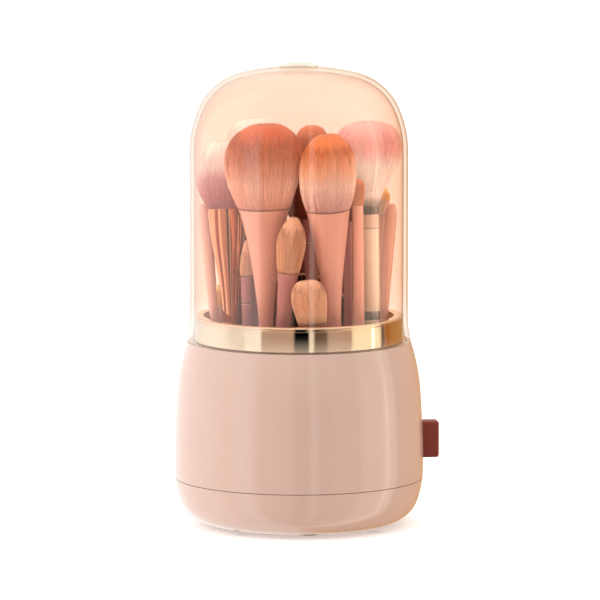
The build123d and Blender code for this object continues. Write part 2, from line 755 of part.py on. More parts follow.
def fluffy_brush():
    cone = ((FOOT_HEIGHT, 3.2), (101, 3.5), (119, 5.0), (137, 7.8), (155, 9.3))
    return brush((-31.5, -8.6), (-36.4, 5.0, 188), cone, ((155, 9.2), (170, 13.5), (183, 9.0)))


def lip_brush():
    rod = ((FOOT_HEIGHT, 2.1), (110, 2.3), (156.6, 2.4))
    return brush((-36.8, -3.9), (-47.0, -9.5, 158), rod, ((156.6, 2.4), (157.4, 2.0)))


def needle_brush():
    rod = ((FOOT_HEIGHT, 1.6), (154, 1.7))
    return brush((-38.2, 10.0), (-44.8, 8.2, 156), rod, ((154, 1.6), (155.2, 1.1)))


def blending_brush():
    handle = ((FOOT_HEIGHT, 3.4), (100, 4.0), (134, 4.5))
    return brush((-25.0, 9.0), (-27.0, 12.0, 148), handle, ((134, 4.4), (140, 4.7)))


def finishing_brush():
    cone = ((FOOT_HEIGHT, 3.8), (110, 4.0), (152, 10.0))
    return brush((-13.5, 11.0), (-17.5, 27.0, 198), cone, ((152, 9.9), (178, 14.5)))


def highlighter_brush():
    handle = ((FOOT_HEIGHT, 3.4), (101, 4.0), (145.6, 4.4))
    ferrule = ((145.6, 4.5), (157.5, 4.5))
    hair = ((157.5, 4.4), (172.6, 12.2), (180, 16.2), (188, 16.6), (194, 14.2))
    return brush((36.5, -8.0), (33.5, -0.5, 198.4), handle, hair, ferrule)


def contour_brush():
    handle = ((FOOT_HEIGHT, 2.6), (110, 2.7), (158.7, 2.7))
    return brush((29.8, -14.0), (28.4, -18.4, 171.5), handle, ((158.7, 2.6), (164, 3.1)))


def setting_brush():
    handle = ((FOOT_HEIGHT, 3.4), (110, 3.8), (148, 4.0))
    return brush((22.0, 8.0), (24.0, 11.0, 166), handle, ((148, 3.9), (156, 4.4)))


def smudge_brush():
    rod = ((FOOT_HEIGHT, 2.7), (110, 3.1), (155.0, 3.1))
    return brush((37.0, 5.5), (45.4, 7.0, 156.6), rod, ((155.0, 3.1), (156.1, 2.3)))


def shader_brush():
    handle = ((FOOT_HEIGHT, 2.6), (150, 2.8))
    ferrule = ((150, 2.9), (157, 2.9))
    hair = ((157, 2.8), (159.5, 3.0))
    return brush((31.0, 13.0), (42.3, 14.0, 165.2), handle, hair, ferrule, pointed=True)


def liner_brush():
    handle = ((FOOT_HEIGHT, 2.0), (150, 2.2))
    return brush((24.3, -10.0), (23.6, -12.2, 163), handle, ((150, 2.1), (155, 2.4)), pointed=True)


def crease_brushes():
    handle = ((FOOT_HEIGHT, 2.4), (110, 2.7))
    ferrule = ((110, 2.8), (123.3, 2.9))
    hair = ((123.3, 2.8), (128, 3.1))
    left = brush((-24.5, -11.0), (-25.6, -13.0, 141.5), handle, hair, ferrule, pointed=True)
    right = brush((-20.0, -6.5), (-22.4, -6.0, 138.5), handle, hair, ferrule, pointed=True)
    return group([left, right])


def mini_brush():
    handle = ((FOOT_HEIGHT, 2.2), (97, 2.4))
    ferrule = ((97, 2.5), (105, 2.5))
    return brush((-37.0, 6.0), (-38.8, 5.5, 117), handle, ((105, 2.4), (110, 2.8)), ferrule)


# ---------------------------------------------------------------- dome
def dome_form(inset):
    """The dome as a filled form, its surface set in by a wall thickness."""
    spread = DOME_RADIUS - SIDE_ARC + (SIDE_ARC - SHOULDER_ARC) * cos(radians(SIDE_TURN))
    crown_start = degrees(acos(spread / (CROWN_ARC - SHOULDER_ARC)))
    turns = (SIDE_TURN, crown_start - SIDE_TURN, 90 - crown_start)
    arcs = list(zip((SIDE_ARC, SHOULDER_ARC, CROWN_ARC), turns))
    rise = SIDE_ARC * sin(radians(SIDE_TURN))
    rise += SHOULDER_ARC * (sin(radians(crown_start)) - sin(radians(SIDE_TURN)))
    rise += CROWN_ARC * (1 - sin(radians(crown_start)))
    side_top = (DOME_RADIUS - inset, DOME_APEX - rise)
    side_bottom = (DOME_RADIUS - inset, FLARE_TOP)
    roof = arc_chain(side_top, 90, arcs, inset, 1)
    flare_turn = degrees(acos(1 - 1.6 / FLARE_RADIUS))
    flare = arc_chain(side_bottom, -90, [(FLARE_RADIUS, flare_turn)], inset, -1)
    foot = flare[-1] @ 1
    apex = roof[-1] @ 1
    closing = [
        Line(side_bottom, side_top),
        Line(foot, (0, foot.Y)),
        Line((0, foot.Y), (0, apex.Y)),
    ]
    if apex.X > 1e-6:
        closing.append(Line((0, apex.Y), apex))
    return turned(flare + roof + closing)


def dome_cover():
    space = slab(DOME_BOTTOM, DOME_APEX + 5)
    cover = (dome_form(0) & space) - dome_form(DOME_WALL)
    rim = cover.edges().group_by(Axis.Z)[0]
    return fillet(rim, 0.6)


def dome_badge():
    badge = cylinder(BADGE_RADIUS, DOME_APEX - 3, BADGE_TOP)
    badge = fillet(badge.edges().group_by(Axis.Z)[-1], 0.5)
    crown = Pos(0, 0, DOME_APEX - CROWN_ARC) * Sphere(CROWN_ARC + 0.04)
    return badge - crown


# ---------------------------------------------------------------- write every node
NODES = (
    rubber_feet,
    bottom_cover,
    cover_screws,
    body_shell,
    chassis_plate,
    chassis_screws,
    bowl_screws,
    motor_can,
    motor_end_cap,
    motor_screws,
    motor_shaft,
    motor_pinion,
    drive_gear,
    spindle,
    spindle_clip,
    lower_bushing,
    upper_bushing,
    shaft_seal,
    wash_bowl,
    bowl_gasket,
    disc_carrier,
    scrub_pad,
    battery_cell,
    battery_contacts,
    circuit_board,
    board_components,
    board_screws,
    usb_socket,
    usb_cover,
    switch_board,
    switch_body,
    switch_plunger,
    power_button,
    button_spring,
    holder_cup,
    trim_ring,
    holder_divider,
    powder_brush,
    blush_brush,
    bronzer_brush,
    concealer_brush,
    flat_brush,
    brow_brush,
    angled_brush,
    fluffy_brush,
    lip_brush,
    needle_brush,
    blending_brush,
    finishing_brush,
    highlighter_brush,
    contour_brush,
    setting_brush,
    smudge_brush,
    shader_brush,
    liner_brush,
    crease_brushes,
    mini_brush,
    dome_cover,
    dome_badge,
)

for node in NODES:
    export_step(node(), f"parts/{node.__name__}.step")
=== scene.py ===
import math

import bmesh
import bpy
import numpy as np
from mathutils import Matrix, Vector


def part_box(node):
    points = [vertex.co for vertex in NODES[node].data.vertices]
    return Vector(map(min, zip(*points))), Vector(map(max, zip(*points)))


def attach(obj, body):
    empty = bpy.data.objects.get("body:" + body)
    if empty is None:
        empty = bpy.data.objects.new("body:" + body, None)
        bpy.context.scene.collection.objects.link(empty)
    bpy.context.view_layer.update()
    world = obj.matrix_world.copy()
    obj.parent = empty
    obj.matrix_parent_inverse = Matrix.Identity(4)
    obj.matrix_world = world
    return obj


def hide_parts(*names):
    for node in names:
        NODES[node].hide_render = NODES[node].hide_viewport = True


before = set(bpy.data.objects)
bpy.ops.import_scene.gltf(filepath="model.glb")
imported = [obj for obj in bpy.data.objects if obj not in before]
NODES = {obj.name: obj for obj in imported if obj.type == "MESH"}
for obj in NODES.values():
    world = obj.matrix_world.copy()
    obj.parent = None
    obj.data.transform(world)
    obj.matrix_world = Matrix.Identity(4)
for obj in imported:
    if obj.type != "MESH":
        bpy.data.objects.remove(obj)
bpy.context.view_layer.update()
MM = 0.001
# The camera looks from a little left of the front, and the brush holder is turned to face it
VIEW_TURN = math.radians(-7.7)


# ---------------------------------------------------------------- material helpers
def new_material(name, colour, roughness, **sockets):
    """A Principled material; further sockets are named with underscores for spaces."""
    material = bpy.data.materials.new(name)
    material.use_nodes = True
    tree = material.node_tree
    shader = tree.nodes["Principled BSDF"]
    shader.inputs["Base Color"].default_value = (*colour, 1.0)
    shader.inputs["Roughness"].default_value = roughness
    for socket, value in sockets.items():
        shader.inputs[socket.replace("_", " ")].default_value = value
    return material, tree, shader


def add_node(tree, kind, inputs=None, **settings):
    """A shader node of a kind, with values for its sockets and its own settings."""
    node = tree.nodes.new("ShaderNode" + kind)
    for setting, value in settings.items():
        setattr(node, setting, value)
    for socket, value in (inputs or {}).items():
        node.inputs[socket].default_value = value
    return node


def ramp(tree, source, stops):
    """A colour ramp; stops are (position, (r, g, b))."""
    node = add_node(tree, "ValToRGB")
    elements = node.color_ramp.elements
    while len(elements) < len(stops):
        elements.new(0.5)
    for element, (position, colour) in zip(elements, stops):
        element.position = position
        element.color = (*colour, 1.0)
    tree.links.new(source, node.inputs["Fac"])
    return node.outputs["Color"]


def noise(tree, scale, detail, stretch=(1, 1, 1)):
    """Object-space noise; stretch scales the coordinates along each axis."""
    place = add_node(tree, "TexCoord")
    mapping = add_node(tree, "Mapping", {"Scale": stretch})
    texture = add_node(tree, "TexNoise", {"Scale": scale, "Detail": detail})
    tree.links.new(place.outputs["Object"], mapping.inputs["Vector"])
    tree.links.new(mapping.outputs["Vector"], texture.inputs["Vector"])
    return texture.outputs["Fac"]


def map_range(tree, source, low, high):
    """Maps a source that runs from 0 to 1 onto low to high."""
    node = add_node(tree, "MapRange", {"To Min": low, "To Max": high})
    tree.links.new(source, node.inputs["Value"])
    return node.outputs["Result"]


def vary(tree, shader, colour, amount, scale):
    """Slow colour drift about the base colour."""
    darker = tuple(c * (1 - amount) for c in colour)
    lighter = tuple(min(1.0, c * (1 + amount)) for c in colour)
    drift = ramp(tree, noise(tree, scale, 3.0), ((0.35, darker), (0.65, lighter)))
    tree.links.new(drift, shader.inputs["Base Color"])


def grain(tree, shader, scale, strength, stretch=(1, 1, 1)):
    """Fine surface relief."""
    bump = add_node(tree, "Bump", {"Strength": strength, "Distance": 0.1 * MM})
    tree.links.new(noise(tree, scale, 3.0, stretch), bump.inputs["Height"])
    tree.links.new(bump.outputs["Normal"], shader.inputs["Normal"])


def rough_drift(tree, shader, low, high, scale):
    """Uneven gloss between two roughness values."""
    drift = map_range(tree, noise(tree, scale, 4.0), low, high)
    tree.links.new(drift, shader.inputs["Roughness"])


def plastic(name, colour, roughness, drift=0.03, relief=0.05, coat=0.0):
    """Moulded plastic: slow colour drift, uneven gloss and a faint orange-peel relief."""
    material, tree, shader = new_material(
        name, colour, roughness, Coat_Weight=coat, Coat_Roughness=0.06
    )
    vary(tree, shader, colour, drift, 40)
    rough_drift(tree, shader, roughness * 0.85, roughness * 1.2, 90)
    grain(tree, shader, 900, relief)
    return material


def metal(name, colour, roughness, brushed=(1, 1, 1)):
    """Metal with fine drawn marks, finest along the axis that brushed scales most."""
    material, tree, shader = new_material(name, colour, roughness, Metallic=1.0)
    vary(tree, shader, colour, 0.04, 120)
    rough_drift(tree, shader, roughness * 0.7, roughness * 1.4, 260)
    grain(tree, shader, 1200, 0.02, stretch=brushed)
    return material


def rubber(name, colour):
    """Matt rubber or silicone with a fine skin."""
    material, tree, shader = new_material(name, colour, 0.6, Specular_IOR_Level=0.35)
    vary(tree, shader, colour, 0.06, 150)
    rough_drift(tree, shader, 0.5, 0.72, 300)
    grain(tree, shader, 2500, 0.25)
    return material


def see_through(name, facing_tint, edge_tint, mirror, roughness, foot_tint=None):
    """Clear moulded plastic, thin enough not to bend light.

    mirror is its reflectance seen square on; tint and reflection deepen at grazing views.
    foot_tint is the weaker tint of the dome's foot, which fades out above the gold ring."""
    material = bpy.data.materials.new(name)
    material.use_nodes = True
    tree = material.node_tree
    tree.nodes.remove(tree.nodes["Principled BSDF"])
    clear = add_node(tree, "BsdfTransparent")
    gloss = add_node(tree, "BsdfGlossy", {"Roughness": roughness})
    weight = add_node(tree, "LayerWeight", {"Blend": 0.5})
    steep = add_node(tree, "Math", {1: 5.0}, operation="POWER")
    mix = add_node(tree, "MixShader")
    tree.links.new(weight.outputs["Facing"], steep.inputs[0])
    stops = ((0.0, facing_tint), (0.8, facing_tint), (1.0, edge_tint))
    tint = ramp(tree, weight.outputs["Facing"], stops)
    if foot_tint:
        place = add_node(tree, "TexCoord")
        split = add_node(tree, "SeparateXYZ")
        rise = add_node(tree, "MapRange", {"From Min": 98 * MM, "From Max": 112 * MM})
        blend = add_node(tree, "MixRGB", {"Color1": (*foot_tint, 1.0)})
        tree.links.new(place.outputs["Object"], split.inputs["Vector"])
        tree.links.new(split.outputs["Z"], rise.inputs["Value"])
        tree.links.new(rise.outputs["Result"], blend.inputs["Fac"])
        tree.links.new(tint, blend.inputs["Color2"])
        tint = blend.outputs["Color"]
    tree.links.new(tint, clear.inputs["Color"])
    tree.links.new(map_range(tree, steep.outputs["Value"], mirror, 1.0), mix.inputs["Fac"])
    tree.links.new(clear.outputs["BSDF"], mix.inputs[1])
    tree.links.new(gloss.outputs["BSDF"], mix.inputs[2])
    output = tree.nodes["Material Output"]
    tree.links.new(mix.outputs["Shader"], output.inputs["Surface"])
    return material


def hair_material(name, stops):
    """Brush hair: colour runs from root to tip, each strand differs and fine streaks run up."""
    # The hair also glows faintly in its own colour: painted light that lifts its shaded parts
    material, tree, shader = new_material(
        name, stops[0][1], 0.55, Specular_IOR_Level=0.3, Sheen_Weight=0.25, Sheen_Roughness=0.4,
        Emission_Strength=0.12,
    )
    along = add_node(tree, "Attribute", attribute_name="along")
    strand = add_node(tree, "Attribute", attribute_name="shade")
    # The colour change wanders up and down across the head
    wander = map_range(tree, noise(tree, 500, 2.0, stretch=(1, 1, 0.12)), 0.86, 1.14)
    shifted = add_node(tree, "Math", operation="MULTIPLY")
    tree.links.new(along.outputs["Fac"], shifted.inputs[0])
    tree.links.new(wander, shifted.inputs[1])
    body = ramp(tree, shifted.outputs["Value"], stops)
    level = map_range(tree, strand.outputs["Fac"], 0.86, 1.14)
    streak = map_range(tree, noise(tree, 2600, 3.0, stretch=(1, 1, 0.02)), 0.62, 1.38)
    both = add_node(tree, "Math", operation="MULTIPLY")
    tree.links.new(level, both.inputs[0])
    tree.links.new(streak, both.inputs[1])
    scaled = add_node(tree, "VectorMath", operation="SCALE")
    tree.links.new(body, scaled.inputs[0])
    tree.links.new(both.outputs["Value"], scaled.inputs["Scale"])
    tree.links.new(scaled.outputs["Vector"], shader.inputs["Base Color"])
    tree.links.new(scaled.outputs["Vector"], shader.inputs["Emission Color"])
    return material


# ---------------------------------------------------------------- materials
SHELL = plastic("base_gloss_pink", (0.50, 0.34, 0.28), 0.16, drift=0.015, relief=0.03, coat=0.3)
BOWL = plastic("bowl_pink", (0.86, 0.68, 0.60), 0.2, coat=0.3)
CUP = plastic("cup_pink", (0.80, 0.52, 0.42), 0.25, coat=0.2)
WHITE_PLASTIC = plastic("inner_white", (0.82, 0.80, 0.76), 0.45)
GEAR_PLASTIC = plastic("gear_natural", (0.88, 0.85, 0.76), 0.4)
BROWN = plastic("button_brown", (0.17, 0.012, 0.001), 0.5, drift=0.05, relief=0.12)
BLACK = plastic("chip_black", (0.02, 0.02, 0.022), 0.5)
BOARD = plastic("board_green", (0.02, 0.12, 0.05), 0.4, drift=0.1)
WRAP = plastic("battery_wrap", (0.10, 0.24, 0.40), 0.3)
GOLD = metal("trim_gold", (0.74, 0.64, 0.52), 0.05, brushed=(1, 1, 6))
STEEL = metal("steel", (0.56, 0.56, 0.57), 0.3)
BRASS = metal("brass", (0.72, 0.50, 0.20), 0.32)
FOOT_RUBBER = rubber("foot_rubber", (0.30, 0.17, 0.13))
SEAL_RUBBER = rubber("seal_rubber", (0.08, 0.075, 0.075))
PAD_SILICONE = rubber("pad_silicone", (0.82, 0.42, 0.40))
FLAP_SILICONE = rubber("flap_silicone", (0.78, 0.55, 0.47))
DOME = see_through(
    "dome_clear", (0.997, 0.888, 0.828), (0.60, 0.46, 0.33), 0.058, 0.02,
    foot_tint=(0.99, 0.965, 0.94),
)
BADGE = see_through("badge_clear", (0.96, 0.93, 0.89), (0.80, 0.70, 0.60), 0.05, 0.05)
DIVIDER = see_through("divider_smoky", (0.50, 0.26, 0.20), (0.40, 0.20, 0.15), 0.04, 0.06)
BEAD = plastic("divider_bead", (0.78, 0.60, 0.50), 0.2, coat=0.4)

CAD_MATERIALS = {
    SHELL: ("body_shell", "bottom_cover"),
    BOWL: ("wash_bowl",),
    CUP: ("holder_cup",),
    WHITE_PLASTIC: ("chassis_plate", "motor_end_cap", "disc_carrier"),
    GEAR_PLASTIC: ("drive_gear",),
    BROWN: ("power_button", "switch_plunger"),
    BLACK: ("board_components", "switch_body"),
    BOARD: ("circuit_board", "switch_board"),
    WRAP: ("battery_cell",),
    STEEL: (
        "cover_screws", "chassis_screws", "bowl_screws", "motor_screws", "board_screws",
        "motor_can", "motor_shaft", "spindle", "spindle_clip", "button_spring",
        "battery_contacts", "usb_socket",
    ),
    BRASS: ("lower_bushing", "upper_bushing", "motor_pinion"),
    FOOT_RUBBER: ("rubber_feet",),
    SEAL_RUBBER: ("shaft_seal", "bowl_gasket"),
    PAD_SILICONE: ("scrub_pad",),
    FLAP_SILICONE: ("usb_cover",),
    BADGE: ("dome_badge",),
}


def dress_cad_nodes():
    """Gives the CAD meshes that stay in the scene their materials."""
    for material, nodes in CAD_MATERIALS.items():
        for node in nodes:
            slots = NODES[node].data.materials
            slots.clear()
            slots.append(material)


# ---------------------------------------------------------------- mesh helpers
def make_piece(name, vertices, faces, material, body, stands_for=(), values=None):
    """A smooth mesh piece that rides a body; values are per-point float attributes."""
    mesh = bpy.data.meshes.new(name)
    mesh.from_pydata([tuple(v) for v in vertices], [], faces)
    mesh.materials.append(material)
    mesh.polygons.foreach_set("use_smooth", [True] * len(mesh.polygons))
    for attribute, numbers in (values or {}).items():
        layer = mesh.attributes.new(attribute, "FLOAT", "POINT")
        layer.data.foreach_set("value", np.asarray(numbers, np.float32))
    mesh.update()
    piece = bpy.data.objects.new(name, mesh)
    bpy.context.scene.collection.objects.link(piece)
    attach(piece, body)
    if stands_for:
        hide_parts(*stands_for)


def lathe(profile, segments, place=Matrix.Identity(4), flat=1.0, closed=False):
    """Vertices, faces and heights of a turned form; profile is (radius, height) from the bottom.

    Points on the axis become poles.  A closed profile joins its last point to its first."""
    turn = np.linspace(0, 2 * math.pi, segments, endpoint=False)
    rings = []
    vertices = []
    heights = []
    for radius, height in profile:
        if radius < 1e-7:
            rings.append([len(vertices)])
            vertices.append((0.0, 0.0, height))
            heights.append(height)
            continue
        rings.append(list(range(len(vertices), len(vertices) + segments)))
        for angle in turn:
            vertices.append((radius * math.cos(angle), flat * radius * math.sin(angle), height))
            heights.append(height)
    faces = []
    pairs = list(zip(rings, rings[1:]))
    if closed:
        pairs.append((rings[-1], rings[0]))
    for low, high in pairs:
        for i in range(segments):
            j = (i + 1) % segments
            if len(low) == 1:
                faces.append((low[0], high[j], high[i]))
            elif len(high) == 1:
                faces.append((low[i], low[j], high[0]))
            else:
                faces.append((low[i], low[j], high[j], high[i]))
    placed = [place @ Vector(v) for v in vertices]
    return placed, faces, heights


def arc_points(centre, radius, start, end, count):
    """Points on an arc in the (radius, height) plane, angles in degrees."""
    angles = np.radians(np.linspace(start, end, count))
    return [(centre[0] + radius * math.cos(a), centre[1] + radius * math.sin(a)) for a in angles]


# ---------------------------------------------------------------- reading turned solids
# Spacing of the heights at which a turned solid's radius is read
STATION = 0.2 * MM
# A head whose depth is at least this share of its width counts as round
ROUND = 0.8


def islands(node):
    """The separate solids of a CAD node, each as an array of points."""
    bm = bmesh.new()
    bm.from_mesh(NODES[node].data)
    bmesh.ops.remove_doubles(bm, verts=bm.verts, dist=1e-6)
    bm.verts.ensure_lookup_table()
    seen = set()
    found = []
    for start in bm.verts:
        if start.index in seen:
            continue
        seen.add(start.index)
        stack = [start]
        points = []
        while stack:
            vertex = stack.pop()
            points.append(tuple(vertex.co))
            for edge in vertex.link_edges:
                other = edge.other_vert(vertex)
                if other.index not in seen:
                    seen.add(other.index)
                    stack.append(other)
        found.append(np.array(points))
    bm.free()
    return found


def sort_brushes(solids):
    """Groups the solids of a node into brushes: each foot with what stands over it."""
    lowest = min(points[:, 2].min() for points in solids)
    feet = [points for points in solids if points[:, 2].min() < lowest + MM]
    brushes = [[foot] for foot in feet]
    for points in solids:
        if any(points is foot for foot in feet):
            continue
        near = [np.linalg.norm(points.mean(0)[:2] - foot.mean(0)[:2]) for foot in feet]
        brushes[int(np.argmin(near))].append(points)
    for brush in brushes:
        brush.sort(key=lambda points: points[:, 2].mean())
    return brushes


def brush_frame(solids):
    """Placement matrix of a brush: Z along its axis from the foot, X across it, and its flatness.

    The axis is square to the disc that closes the foot."""
    foot = solids[0]
    axis = np.linalg.svd(foot - foot.mean(0), full_matrices=False)[2][0]
    axis = axis * np.sign(axis[2])
    for _ in range(3):
        reach = foot @ axis
        disc = foot[reach < reach.min() + 0.3 * MM]
        normal = np.linalg.svd(disc - disc.mean(0), full_matrices=False)[2][2]
        axis = normal * np.sign(normal[2])
    axis = Vector(axis)
    base = Vector((disc.min(0) + disc.max(0)) / 2)
    side = Vector((math.cos(VIEW_TURN), math.sin(VIEW_TURN), 0.0))
    side = (side - axis * side.dot(axis)).normalized()
    across = axis.cross(side)
    points = solids[-1] - np.array(base)
    flat = np.abs(points @ np.array(across)).max() / np.abs(points @ np.array(side)).max()
    place = Matrix((side, across, axis)).transposed().to_4x4()
    place.translation = base
    return place, flat if flat < ROUND else 1.0


def outline(points, place, flat):
    """(height, radius) stations of a turned solid about its brush's axis."""
    local = np.array(place.inverted())
    turned = points @ local[:3, :3].T + local[:3, 3]
    radius = np.hypot(turned[:, 0], turned[:, 1] / flat)
    stations = {}
    for height, r in zip(np.round(turned[:, 2] / STATION), radius):
        stations[height] = max(r, stations.get(height, 0.0))
    heights = np.array(sorted(stations)) * STATION
    return heights, np.array([stations[h] for h in sorted(stations)])


def smooth_curve(heights, radii, count):
    """Resamples stations with a soft filter, keeping both ends."""
    at = np.linspace(heights[0], heights[-1], count)
    r = np.interp(at, heights, radii)
    for _ in range(2):
        r[1:-1] = (r[:-2] + 2 * r[1:-1] + r[2:]) / 4
    return at, r


# ---------------------------------------------------------------- brush pieces
HANDLE_SIDES = 56
CORE_SIDES = 96
# Each hair is a three-sided tube of this many lengths, closed at its foot and pointed at its tip
HAIR_STEPS = 5
HAIR_SIDES = [(math.cos(a), math.sin(a)) for a in (0.0, 2.094, 4.189)]
HAIR_POINTS = 3 * HAIR_STEPS + 1
# Share of the way by which the hairs above the belly lean in with the outline
LEAN = 0.88


def handle_piece(name, solid, place, flat, material, stands_for=(), tip=None):
    """A lacquered handle or a ferrule, with a soft foot.

    It ends in a rolled lip round the hair, or, given the height of a tip, in a round nose."""
    heights, radii = outline(solid, place, flat)
    at, r = smooth_curve(heights, radii, 40)
    soft = min(0.8 * MM, r[0] * 0.3)
    lip = min(0.35 * MM, r[-1] * 0.12)
    profile = [(0.0, at[0]), (r[0] - soft, at[0]), (r[0] - 0.3 * soft, at[0] + 0.3 * soft)]
    profile += [(radius, height) for height, radius in zip(at[1:-1], r[1:-1])]
    plain = len(profile)
    if tip is None:
        profile += [
            (r[-1] - 0.2 * lip, at[-1] - 2.2 * lip),
            (r[-1], at[-1] - 1.2 * lip),
            (r[-1] - 0.3 * lip, at[-1] - 0.3 * lip),
            (r[-1] - lip, at[-1]),
            (r[-1] - 1.6 * lip, at[-1] - 0.2 * lip),
            (r[-1] - 1.8 * lip, at[-1] - 1.5 * lip),
            (0.0, at[-1] - 1.5 * lip),
        ]
    else:
        rise = tip - at[-1]
        for angle in np.radians(np.linspace(0, 90, 7)[:-1]):
            profile.append((r[-1] * math.cos(angle), at[-1] + rise * math.sin(angle)))
        profile.append((0.0, tip))
    vertices, faces, rows = lathe(profile, HANDLE_SIDES, place, flat)
    # Points on the lip are marked for the painted highlight that the lacquer puts there
    edge = profile[plain + 1][1] - 1e-6 if tip is None else 2 * at[-1]
    lit = [1.0 if height >= edge else 0.0 for height in rows]
    make_piece(
        name, vertices, faces, material, "brush_holder", stands_for, {"lip": lit}
    )


def band_piece(name, solid, place, material, low, high):
    """A thin band round a handle between two heights above the brush's foot."""
    proud = 0.12 * MM
    buried = 0.2 * MM
    heights, radii = outline(solid, place, 1.0)
    stations = np.linspace(low, high, 5)
    r = np.interp(stations, heights, radii)
    profile = [(r[0] - buried, low)]
    profile += [(radius + proud, height) for radius, height in zip(r, stations)]
    profile += [(r[-1] - buried, high)]
    vertices, faces, _ = lathe(profile, HANDLE_SIDES, place, closed=True)
    make_piece(name, vertices, faces, material, "brush_holder")


def strand_paths(rng, heights, radii, count, fullness):
    """Start angle, share of the radius and end height of each hair, and the radius they follow."""
    belly = int(np.argmax(radii))
    reach = radii.copy()
    reach[belly:] = (1 - LEAN) * radii[belly] + LEAN * radii[belly:]
    share = np.sqrt(rng.uniform(0.12, 1.0, count))
    outer = rng.random(count) < 0.45
    share[outer] = rng.uniform(0.93, 1.0, outer.sum())
    angle = rng.uniform(0, 2 * math.pi, count)
    ends = np.empty(count)
    fine = np.linspace(heights[belly], heights[-1], 60)
    envelope = np.interp(fine, heights, radii) / radii[belly]
    for k in range(count):
        inside = fine[envelope >= (1 - LEAN) * share[k] / (1 - LEAN * share[k])]
        ends[k] = inside[-1] if len(inside) else heights[belly]
    return angle, share * fullness, ends, reach


def hair_core(heights, radii, flat, fullness):
    """Vertices, faces and heights of the soft core, a little inside the hairs."""
    length = heights[-1] - heights[0]
    inset = np.linspace(0.96, 0.92, len(radii)) * np.linspace(1.0, fullness, len(radii))
    core = [(0.0, heights[0] - 0.4 * MM)]
    core += [(r * part, h) for h, r, part in zip(heights[:-1], radii[:-1], inset)]
    core += [(0.0, heights[-1] - 0.03 * length)]
    return lathe(core, CORE_SIDES, flat=flat)


def strand_tubes(root, heights, spread, angle, share, ends, drift, flat, thickness):
    """Points of all hairs, hair by hair: rings of three from the foot and a tip each."""
    tubes = np.empty((len(angle), HAIR_POINTS, 3))
    for step in range(HAIR_STEPS + 1):
        part = step / HAIR_STEPS
        h = root - 0.3 * MM + (ends - root) * part
        reach = np.interp(h, heights, spread)
        # Outer hairs leave the ferrule near its rim, inner ones keep their share all the way
        outer = reach * (1 + (share - 1) * min(1.0, 1.5 * part + 0.4))
        r = np.where(share < 0.9, reach * share, outer)
        a = angle + drift * part
        centre = np.stack([r * np.cos(a), flat * r * np.sin(a), h], 1)
        if step == HAIR_STEPS:
            tubes[:, -1] = centre
            continue
        width = thickness * (1.0 - 0.55 * part**2)
        for corner, (u, v) in enumerate(HAIR_SIDES):
            side = (u * np.cos(a) - v * np.sin(a), u * np.sin(a) + v * np.cos(a), 0 * a)
            tubes[:, step * 3 + corner] = centre + np.stack(side, 1) * width
    return tubes


def strand_faces(first, count):
    """Faces of the hairs whose points start at index first."""
    faces = []
    for base in range(first, first + count * HAIR_POINTS, HAIR_POINTS):
        faces.append((base + 2, base + 1, base))
        for step in range(HAIR_STEPS - 1):
            for corner in range(3):
                a = base + step * 3 + corner
                b = base + step * 3 + (corner + 1) % 3
                faces.append((a, b, b + 3, a + 3))
        last = base + (HAIR_STEPS - 1) * 3
        for corner in range(3):
            faces.append((last + corner, last + (corner + 1) % 3, base + HAIR_STEPS * 3))
    return faces


def hair_piece(name, solid, place, flat, material, count, seed, thickness, style):
    """A hair head: a soft core and many tapered strands that splay out of the ferrule.

    style is its fullness and how far its middle and its tip sway sideways."""
    fullness, middle_sway, tip_sway = style
    heights, radii = smooth_curve(*outline(solid, place, flat), 36)
    root = heights[0]
    length = heights[-1] - root
    rng = np.random.default_rng(seed)
    angle, share, ends, spread = strand_paths(rng, heights, radii, count, fullness)
    ends = ends + rng.normal(0, 0.012 * length, count)
    ends = np.clip(ends, root + 0.3 * length, heights[-1] + 0.2 * MM)
    core_points, core_faces, core_heights = hair_core(heights, radii, flat, fullness)
    streak = rng.normal(0, 1, CORE_SIDES)
    tone = np.clip(rng.normal(0.55, 0.26, count), 0, 1)
    drift = rng.normal(0, 0.02, count)
    tubes = strand_tubes(root, heights, spread, angle, share, ends, drift, flat, thickness)

    # Sway the head sideways and stand it on the brush
    points = np.concatenate([np.array(core_points), tubes.reshape(-1, 3)])
    rise = np.clip((points[:, 2] - root) / length, 0, 1)
    points[:, 0] += middle_sway * 4 * rise * (1 - rise) + tip_sway * rise**2
    stand = np.array(place)
    points = points @ stand[:3, :3].T + stand[:3, 3]

    along = list(np.clip((np.array(core_heights) - root) / length, 0, 1))
    along += list(np.clip((tubes[:, :, 2].reshape(-1) - root) / length, 0, 1))
    shade = [0.5 + 0.10 * streak[index % CORE_SIDES] for index in range(len(core_points))]
    shade += list(np.repeat(tone, HAIR_POINTS))
    make_piece(
        name, points, core_faces + strand_faces(len(core_points), count), material,
        "brush_holder", values={"along": along, "shade": shade},
    )


# ---------------------------------------------------------------- brushes
def lacquer(name, colour, roughness):
    """Lacquered brush handle with a painted highlight: a lighter line on the lip that holds the
    hair.
    """
    material = plastic(name, colour, roughness, drift=0.03, relief=0.03, coat=0.35)
    tree = material.node_tree
    target = tree.nodes["Principled BSDF"].inputs["Base Color"]
    plain = target.links[0].from_socket
    lip = add_node(tree, "Attribute", attribute_name="lip")
    light = tuple(0.45 + 0.5 * c for c in colour)
    mix = add_node(tree, "MixRGB", {"Color2": (*light, 1.0)})
    part = map_range(tree, lip.outputs["Fac"], 0.0, 0.8)
    tree.links.new(part, mix.inputs["Fac"])
    tree.links.new(plain, mix.inputs["Color1"])
    tree.links.new(mix.outputs["Color"], target)
    return material


